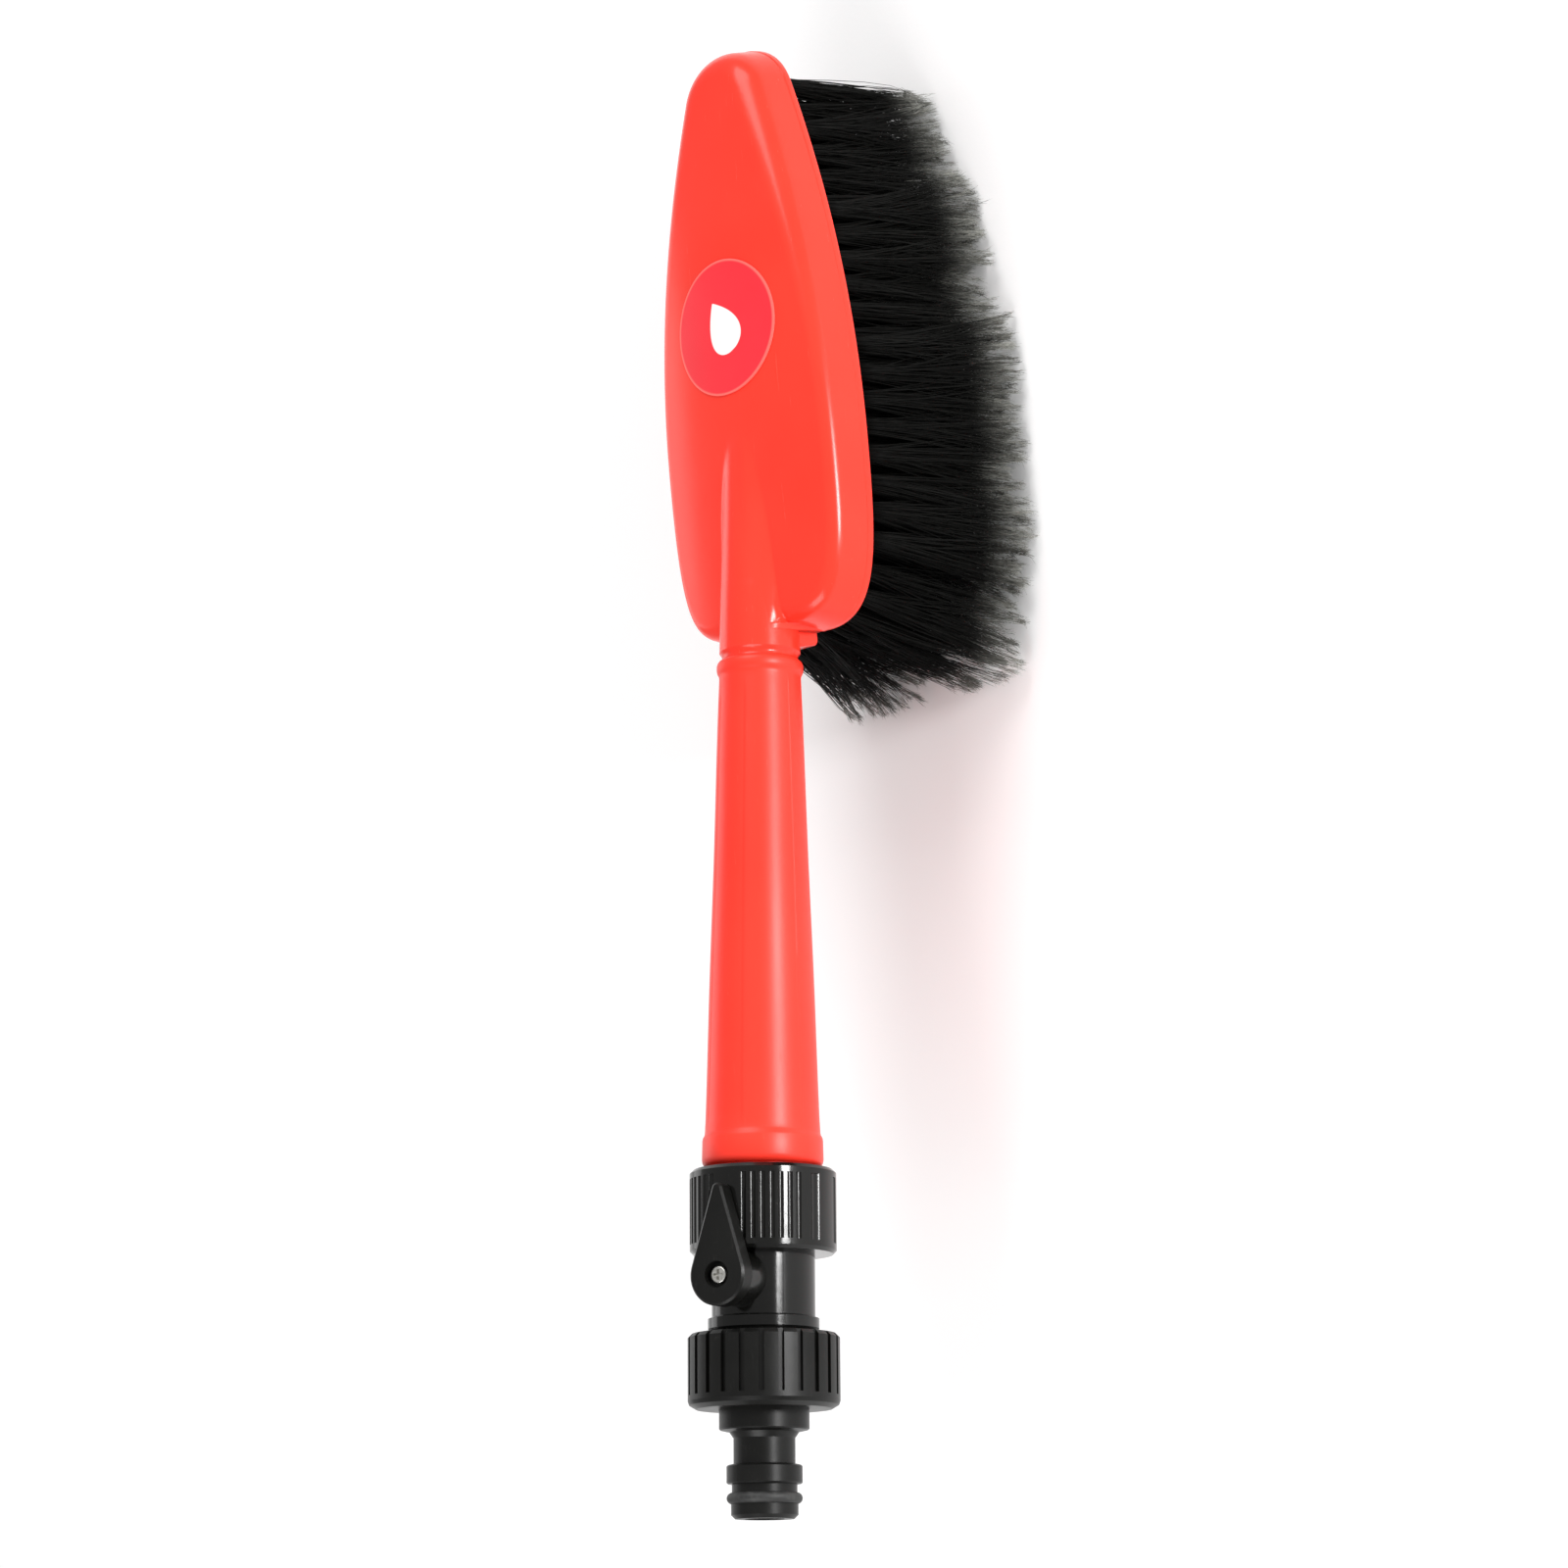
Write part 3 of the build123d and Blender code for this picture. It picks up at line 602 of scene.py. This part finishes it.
# ---------------------------------------------------------------- the handle
def handle_relief(station, angle, radius):
    """The handle's skin: a shallow panel along the back, a fine parting line at each side, and a few
    hundredths of sink."""
    outer = radius > 8.5
    along = eased(FOOT_AT, 90.0, station) * (1.0 - eased(188.0, 193.0, station))
    turn = np.abs((angle + math.pi) % TAU - math.pi)
    panel = -0.16 * (1.0 - eased(math.radians(24.0), math.radians(27.0), turn)) * along
    parting = 0.09 * np.exp(-((turn - math.pi / 2) / 0.012) ** 2) * eased(87.0, 90.0, station)
    sink = 0.05 * np.sin(station * 0.11 + 0.6) * np.sin(2 * angle + 0.4) * along
    return np.where(outer, panel + parting * (1.0 - eased(193.0, 194.5, station)) + sink, 0.0)


def handle():
    """The tapered tube: foot and band, long taper, and the bead at the neck."""
    slope = (BEAD_RADIUS - FOOT_RADIUS) / (BEAD_AT - FOOT_AT)
    taper = [(s, FOOT_RADIUS + slope * (s - FOOT_AT)) for s in np.linspace(FOOT_AT, BEAD_AT, 90)]
    band = [(78.3, 12.0), (79.3, 12.0), (79.35, 13.0), (79.7, 13.5), (80.3, 13.85), (81.0, 13.95),
            (85.4, 13.85), (86.0, 13.72), (86.5, 13.4), (87.1, 13.26)]
    bead = [(194.7, 9.62), (195.1, 9.8), (195.6, 10.05), (196.2, 10.16), (197.1, 10.16),
            (197.7, 10.0), (198.1, 9.7), (198.28, 9.3)]
    inside = [(198.28, 6.95), (180.2, 6.95), (180.0, 4.6), (178.2, 4.6), (172.0, 7.6),
              (88.0, 10.9), (80.0, 9.8), (78.3, 9.8)]
    tube = turned("handle_skin", band + taper + bead + inside, 256, handle_relief)
    return joined("handle_grip", tube, thread("handle_thread", 65.0, 78.6, 9.8))


def thread(name, start, end, bore):
    """A male thread: the radius is a clipped triangle wave of station plus pitch times turns."""
    rows, segments = int((end - start) / 0.16), 128
    station = np.linspace(start, end, rows)[:, None] * np.ones(segments)[None, :]
    angle = np.ones(rows)[:, None] * (np.arange(segments) * TAU / segments)[None, :]
    phase = ((station + THREAD_PITCH * angle / TAU) / THREAD_PITCH) % 1.0
    ridge = np.clip(1.6 * (1.0 - 2.0 * np.abs(phase - 0.5)) - 0.35, 0.0, 1.0)
    run_in = eased(start, start + 1.2, station) * (1.0 - eased(end - 1.2, end, station))
    outer = on_axis(station, THREAD_ROOT + THREAD_DEPTH * ridge * run_in, angle)
    ends = np.array([end, start])[:, None] * np.ones(segments)[None, :]
    inner = on_axis(ends, np.full((2, segments), float(bore)), angle[:2])
    rings = np.concatenate([outer, inner, outer[:1]])
    piece = mesh_piece(name, rings.reshape(-1, 3), grid_faces(len(rings), segments))
    tidy_mesh(piece)
    return piece


# ---------------------------------------------------------------- bristles
def row_span(row):
    """Where a row starts and ends along the head, inside its rim."""
    edge = abs(row) * ROW_PITCH + ROW_ROOT_HALF
    loop = head_outline(ROW_MARGIN, 720)
    inside = loop[np.abs(loop[:, 1]) >= edge]
    return inside[:, 0].min(), inside[:, 0].max()


def tuft_roots(row):
    """The middle of each tuft hole of a row."""
    start, end = row_span(row)
    count = int((end - start) / TUFT_PITCH)
    return start + (np.arange(count) + 0.5) * (end - start) / count


def strand_tube(root, tip, root_way, follow, radius, segments, shade, from_share=0.0):
    """Three-sided strands: each point of a strand lies on a cubic that leaves the root along its
    way and comes to the tip from its following point, ringed by three shrinking corners."""
    strands = len(root)
    share = np.linspace(0.0, 1.0, segments + 1)
    length = np.linalg.norm(tip - root, axis=1)
    lead = root + root_way * (length * 0.36)[:, None]
    s = share[None, :, None]
    path = (root[:, None] * (1 - s) ** 3 + 3 * lead[:, None] * s * (1 - s) ** 2
            + 3 * follow[:, None] * s ** 2 * (1 - s) + tip[:, None] * s ** 3)
    along = tip - root
    first = np.cross(along, (0.31, 0.77, 0.22))
    first /= np.linalg.norm(first, axis=1)[:, None]
    second = np.cross(along, first)
    second /= np.linalg.norm(second, axis=1)[:, None]
    turn = np.arange(3) * TAU / 3
    ring = first[:, None] * np.cos(turn)[None, :, None] + second[:, None] * np.sin(turn)[None, :, None]
    width = radius[:, None] * (1.0 - 0.72 * share[None, :] ** 2)
    points = path[:, :, None] + ring[:, None] * width[:, :, None, None]
    base = (np.arange(strands) * (segments + 1) * 3)[:, None, None]
    level, corner = np.meshgrid(np.arange(segments), np.arange(3), indexing="ij")
    after = (corner + 1) % 3
    quads = np.stack([level * 3 + corner, level * 3 + after, (level + 1) * 3 + after,
                      (level + 1) * 3 + corner], axis=-1).reshape(1, -1, 4) + base
    last = segments * 3
    caps = np.array([[2, 1, 0], [last, last + 1, last + 2]])[None] + base
    along_uv = from_share + (1.0 - from_share) * share
    uv = np.stack([np.broadcast_to(shade[:, None, None], (strands, segments + 1, 3)),
                   np.broadcast_to(along_uv[None, :, None], (strands, segments + 1, 3))], axis=-1)
    return points.reshape(-1, 3), quads.reshape(-1, 4), caps.reshape(-1, 3), uv.reshape(-1, 2)


def strand_way(place, row):
    """The way strands leave the rim at a place along the head: splayed back at the heel, upright at
    the nose, and leaning out with the row."""
    heel_side = np.clip(1.0 - (place - 2.0) / 40.0, 0.0, 1.0)
    nose_side = np.clip((place - (HEAD_LENGTH - 34.0)) / 32.0, 0.0, 1.0)
    back = math.radians(19.0) * heel_side ** 1.4 + math.radians(1.0) - math.radians(2.5) * nose_side
    lean = row * ROW_FAN * ROW_LEAN * (1.0 - 0.4 * nose_side)
    way = np.column_stack([-np.sin(back), np.sin(lean), -np.cos(back) * np.cos(lean)])
    return way / np.linalg.norm(way, axis=1)[:, None]


def tip_half_width(place):
    """How far from the middle line the outermost tips come, by their place along the head."""
    return np.interp(place, (-20.0, -8.0, 20.0, 66.0, 85.0, 105.0, 119.0, 134.0, 142.0),
                     (24.0, 31.0, 36.5, 36.6, 33.0, 27.5, 22.5, 15.0, 9.0))


def tips_across(row, place, across):
    """How far across the tips of a row lie: round the row's own leaning line, but stretched out to
    the edge wherever the next row further out has ended."""
    side = 1.0 if row > 0 else -1.0
    lean = BRISTLE_LENGTH * np.sin(abs(row) * ROW_FAN * ROW_LEAN)
    middle = abs(row) * ROW_PITCH + lean
    outward = (across * side if row else np.abs(across)) + TIP_SPREAD
    edge = tip_half_width(place)
    alone = 1.0
    if abs(row) < ROWS // 2:
        next_start, next_end = row_span(abs(row) + 1)
        alone = np.maximum(eased(next_end - 9.0, next_end + 3.0, place),
                           eased(next_start - 11.0, next_start - 16.0, place))
    share = outward / (2.0 * TIP_SPREAD)
    stretched = middle - TIP_SPREAD + share * np.maximum(edge - middle + TIP_SPREAD, 2.0)
    tips = middle - TIP_SPREAD + outward + alone * (stretched - (middle - TIP_SPREAD + outward))
    tips = np.minimum(tips, edge)
    return tips * (side if row else np.sign(across))


def bristle_row(row, rng):
    """One row: strands leave their tufts together, spread evenly as they fall, gather into narrow
    wisps at their ends, wisps lean together into uneven locks, and strands split into finer hairs."""
    start, end = row_span(row)
    roots_x = tuft_roots(row)
    tufts = len(roots_x)
    strands = tufts * STRANDS_PER_TUFT
    wisps = strands // STRANDS_PER_WISP
    wisp_at = (np.arange(wisps) + rng.uniform(0, 1, wisps)) / wisps
    rng.shuffle(wisp_at)
    wisp_across = rng.uniform(-1, 1, wisps) * TIP_SPREAD
    locks = int((end - start) / LOCK_PITCH) + 1
    lock = (wisp_at * locks).astype(int)
    lock_long = rng.normal(0, 1.0, locks)
    wisp_at += ((lock + 0.5) / locks - wisp_at) * 0.40
    wisp_long = np.clip(rng.normal(0, 0.7, wisps) + lock_long[lock], -3.0, 1.1)
    wisp_shade = rng.normal(0, 0.26, wisps)
    wisp = rng.integers(0, wisps, strands)
    nearest = wisp_at[wisp] * tufts + rng.normal(0, 0.42, strands)
    tuft = np.clip(nearest, 0, tufts - 1).astype(int)
    spin = rng.uniform(0, TAU, strands)
    spread = np.sqrt(rng.uniform(0, 1, strands)) * TUFT_RADIUS
    root_y = row * ROW_PITCH
    root = np.column_stack([roots_x[tuft] + spread * np.cos(spin), root_y + spread * np.sin(spin),
                            np.full(strands, 1.2)])
    place = start - 0.6 + (end - start + 1.2) * wisp_at[wisp]
    way = strand_way(place, row)
    reach = BRISTLE_LENGTH - 1.0 + wisp_long[wisp]
    gathered = np.column_stack([place, np.full(strands, root_y), np.zeros(strands)])
    gathered = gathered + way * reach[:, None]
    forward = FORWARD_FAN * rng.uniform(0, 1, wisps) ** 1.4 * eased(0.62, 1.0, wisp_at)
    gathered[:, 0] += forward[wisp] * (abs(row) > 0)
    nose_end = HEAD_LENGTH - NOSE_CLEAR + rng.normal(0, 0.8, wisps)
    gathered[:, 0] = np.minimum(gathered[:, 0], nose_end[wisp])
    gathered[:, 1] = tips_across(row, gathered[:, 0], wisp_across[wisp])
    gathered[:, 1] += rng.normal(0, 0.45, wisps)[wisp]
    loose = gathered + rng.normal(0, 1, (strands, 3)) * (1.7, 1.7, 0.4)
    tip = gathered + rng.normal(0, 1, (strands, 3)) * (0.42, 0.42, 0.7)
    stray = rng.uniform(0, 1, strands) < STRAY_SHARE
    tip[stray] += rng.normal(0, 1, (int(stray.sum()), 3)) * (1.7, 1.7, 0.8)
    low = FLOOR_CLEAR - RIM_Z
    tip[:, 2] = np.maximum(tip[:, 2], low + rng.uniform(0, 0.6, strands))
    reach_out = TIP_REACH - rng.uniform(0, 0.9, strands)
    tip[:, 1] = np.clip(tip[:, 1], -reach_out, reach_out)
    root_way = way + np.column_stack([np.cos(spin), np.sin(spin), np.zeros(strands)]) * 0.11
    follow = root + (loose - root) * 0.80
    radius = rng.uniform(*STRAND_RADIUS, strands)
    shade = np.clip(0.42 + wisp_shade[wisp] + rng.normal(0, 0.14, strands), 0, 1)
    body = strand_tube(root, tip, root_way, follow, radius, 5, shade)
    hairs = np.repeat(np.arange(strands), 2)
    from_tip = follow[hairs] - tip[hairs]
    from_tip /= np.linalg.norm(from_tip, axis=1)[:, None]
    fork = tip[hairs] + from_tip * rng.uniform(1.0, 4.0, len(hairs))[:, None]
    flag = tip[hairs] - from_tip * rng.uniform(-0.6, 0.9, len(hairs))[:, None]
    flag = flag + rng.normal(0, 1, (len(hairs), 3)) * (0.55, 0.55, 0.25)
    flag[:, 2] = np.maximum(flag[:, 2], low)
    flag[:, 1] = np.clip(flag[:, 1], -TIP_REACH, TIP_REACH)
    hair = strand_tube(fork, flag, -from_tip, (fork + flag) / 2, np.full(len(hairs), HAIR_RADIUS), 2,
                       np.clip(shade[hairs] + 0.3, 0, 1), 0.90)
    return body, hair


def bristle_piece(number, row, rng):
    """A row's strands and split ends as one piece."""
    points, faces, triangles, uvs, start = [], [], [], [], 0
    for part_points, quads, caps, uv in bristle_row(row, rng):
        points.append(part_points)
        faces.append(quads + start)
        triangles.append(caps + start)
        uvs.append(uv)
        start += len(part_points)
    points = np.concatenate(points) + (HEEL_X, 0.0, RIM_Z)
    quads = np.concatenate(faces)
    caps = np.concatenate(triangles)
    mesh = bpy.data.meshes.new(f"bristles_{number}")
    loops = np.concatenate([quads.ravel(), caps.ravel()]).astype(np.int32)
    sizes = np.concatenate([np.full(len(quads), 4), np.full(len(caps), 3)])
    starts = np.concatenate([[0], np.cumsum(sizes)[:-1]]).astype(np.int32)
    mesh.vertices.add(len(points))
    mesh.vertices.foreach_set("co", (points * MM).astype(np.float32).ravel())
    mesh.loops.add(len(loops))
    mesh.loops.foreach_set("vertex_index", loops)
    mesh.polygons.add(len(sizes))
    mesh.polygons.foreach_set("loop_start", starts)
    mesh.polygons.foreach_set("use_smooth", np.ones(len(sizes), dtype=bool))
    layer = mesh.uv_layers.new(name="UVMap")
    layer.data.foreach_set("uv", np.concatenate(uvs)[loops].astype(np.float32).ravel())
    mesh.update(calc_edges=True)
    mesh.validate()
    piece = bpy.data.objects.new(f"bristles_{number}", mesh)
    bpy.context.scene.collection.objects.link(piece)
    return piece


# ---------------------------------------------------------------- build
gloss_red = moulded_red("gloss_red", 1.0)
satin_red = moulded_red("satin_red", 0.2)
gloss_black = moulded_black("gloss_black", 1.0)
satin_black = moulded_black("satin_black", 0.25)
rubber = seal_rubber()
pale = pale_plastic()
steel = screw_steel()
fibre = bristle_fibre()
label_low, label_high = (np.array(corner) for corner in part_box("badge"))
label = label_film((label_low + label_high) / 2, (label_high[0] - label_low[0]) / 2)


def finish_in(piece, material):
    """Give a piece or a CAD node one material."""
    piece.data.materials.clear()
    piece.data.materials.append(material)


head = joined("head_moulding", head_shell(), neck(), heel_boss())
finish_in(head, gloss_red)
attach(head, "brush")
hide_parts("head_shell")

grip = handle()
finish_in(grip, satin_red)
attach(grip, "brush")
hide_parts("handle_tube")

rng = np.random.default_rng(7)
for number in range(1, ROWS + 1):
    tufted = bristle_piece(number, number - 1 - ROWS // 2, rng)
    finish_in(tufted, fibre)
    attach(tufted, "brush")
    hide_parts(f"bristle_row_{number}")

finishes = {
    gloss_red: ["base_plate"],
    gloss_black: ["valve_body"],
    satin_black: ["lever", "hose_adaptor", "seat_retainer"],
    rubber: ["neck_seal", "socket_washer", "stem_seals", "adaptor_washer", "nipple_o_ring"],
    pale: ["valve_ball", "outlet_seat", "inlet_seat", "valve_stem"],
    steel: ["lever_screw"],
    label: ["badge"],
}
for material, names in finishes.items():
    for name in names:
        finish_in(frame["nodes"][name], material)


# ---------------------------------------------------------------- floor, lights and camera
def floor():
    """A broad plain sweep under the brush."""
    span = 6000.0
    side = np.linspace(-span, span, 9)
    x, y = np.meshgrid(side, side, indexing="ij")
    points = np.column_stack([x.ravel(), y.ravel(), np.zeros(x.size)])
    piece = mesh_piece("floor", points, grid_faces(9, 9, wrap=False, flip=True))
    finish_in(piece, floor_paper())
    return piece


def soft_light(name, towards, place, size, watts):
    """A square soft light at a place, facing a point, in metres."""
    light = bpy.data.lights.new(name, "AREA")
    light.shape = "SQUARE"
    light.size = size
    light.energy = watts
    lamp = bpy.data.objects.new(name, light)
    bpy.context.scene.collection.objects.link(lamp)
    lamp.location = place
    lamp.rotation_euler = (Vector(towards) - Vector(place)).to_track_quat("-Z", "Y").to_euler()
    return lamp


def aim_camera():
    """A long lens over the brush's near side, turned so that the handle hangs down the frame."""
    elevation = math.radians(12.3)      # how far the lens looks up the handle
    swing = math.radians(46.5)          # from the back round towards the near side
    roll = 0.0069                       # the tangent of the lens's lean
    distance = 1.0
    middle_at = 175.0                   # the brush's middle, from the nipple's end
    aside, below = 0.005492, 0.005721   # how far the lens looks past the middle, in metres
    right = -math.cos(swing) * SIDE - math.sin(swing) * BACK
    near = -math.sin(swing) * SIDE + math.cos(swing) * BACK
    towards = -math.sin(elevation) * ALONG + math.cos(elevation) * near
    up = math.cos(elevation) * ALONG + math.sin(elevation) * near
    up = up + roll * right
    up /= np.linalg.norm(up)
    right = np.cross(up, towards)
    middle = (PIVOT + (middle_at - PIVOT_AT) * ALONG) * MM
    aim = middle + right * aside - up * below
    place = aim + towards * distance
    data = bpy.data.cameras.new("camera")
    data.sensor_width = 36.0
    data.lens = 98.325
    data.clip_start = 0.01
    camera = bpy.data.objects.new("camera", data)
    bpy.context.scene.collection.objects.link(camera)
    turn = Matrix((tuple(right), tuple(up), tuple(towards))).transposed().to_4x4()
    turn.translation = place
    camera.matrix_world = turn
    bpy.context.scene.camera = camera


floor()
aim_camera()
soft_light("near", (-0.08, 0.0, 0.07), (0.17, -1.22, 0.22), 0.27, 13.5)
soft_light("head_end", (0.0, 0.0, 0.05), (1.45, -0.25, 1.20), 1.0, 18.0)
soft_light("hose_end", (0.0, 0.0, 0.05), (-1.45, -0.25, 1.20), 1.0, 18.0)
soft_light("far", (0.0, 0.0, 0.05), (0.25, 1.30, 0.34), 0.6, 1.8)
world = bpy.data.worlds.new("studio")
world.use_nodes = True
world.node_tree.nodes["Background"].inputs["Color"].default_value = (1.0, 1.0, 1.0, 1.0)
world.node_tree.nodes["Background"].inputs["Strength"].default_value = 0.52
bpy.context.scene.world = world
bpy.context.scene.view_settings.view_transform = "Standard"
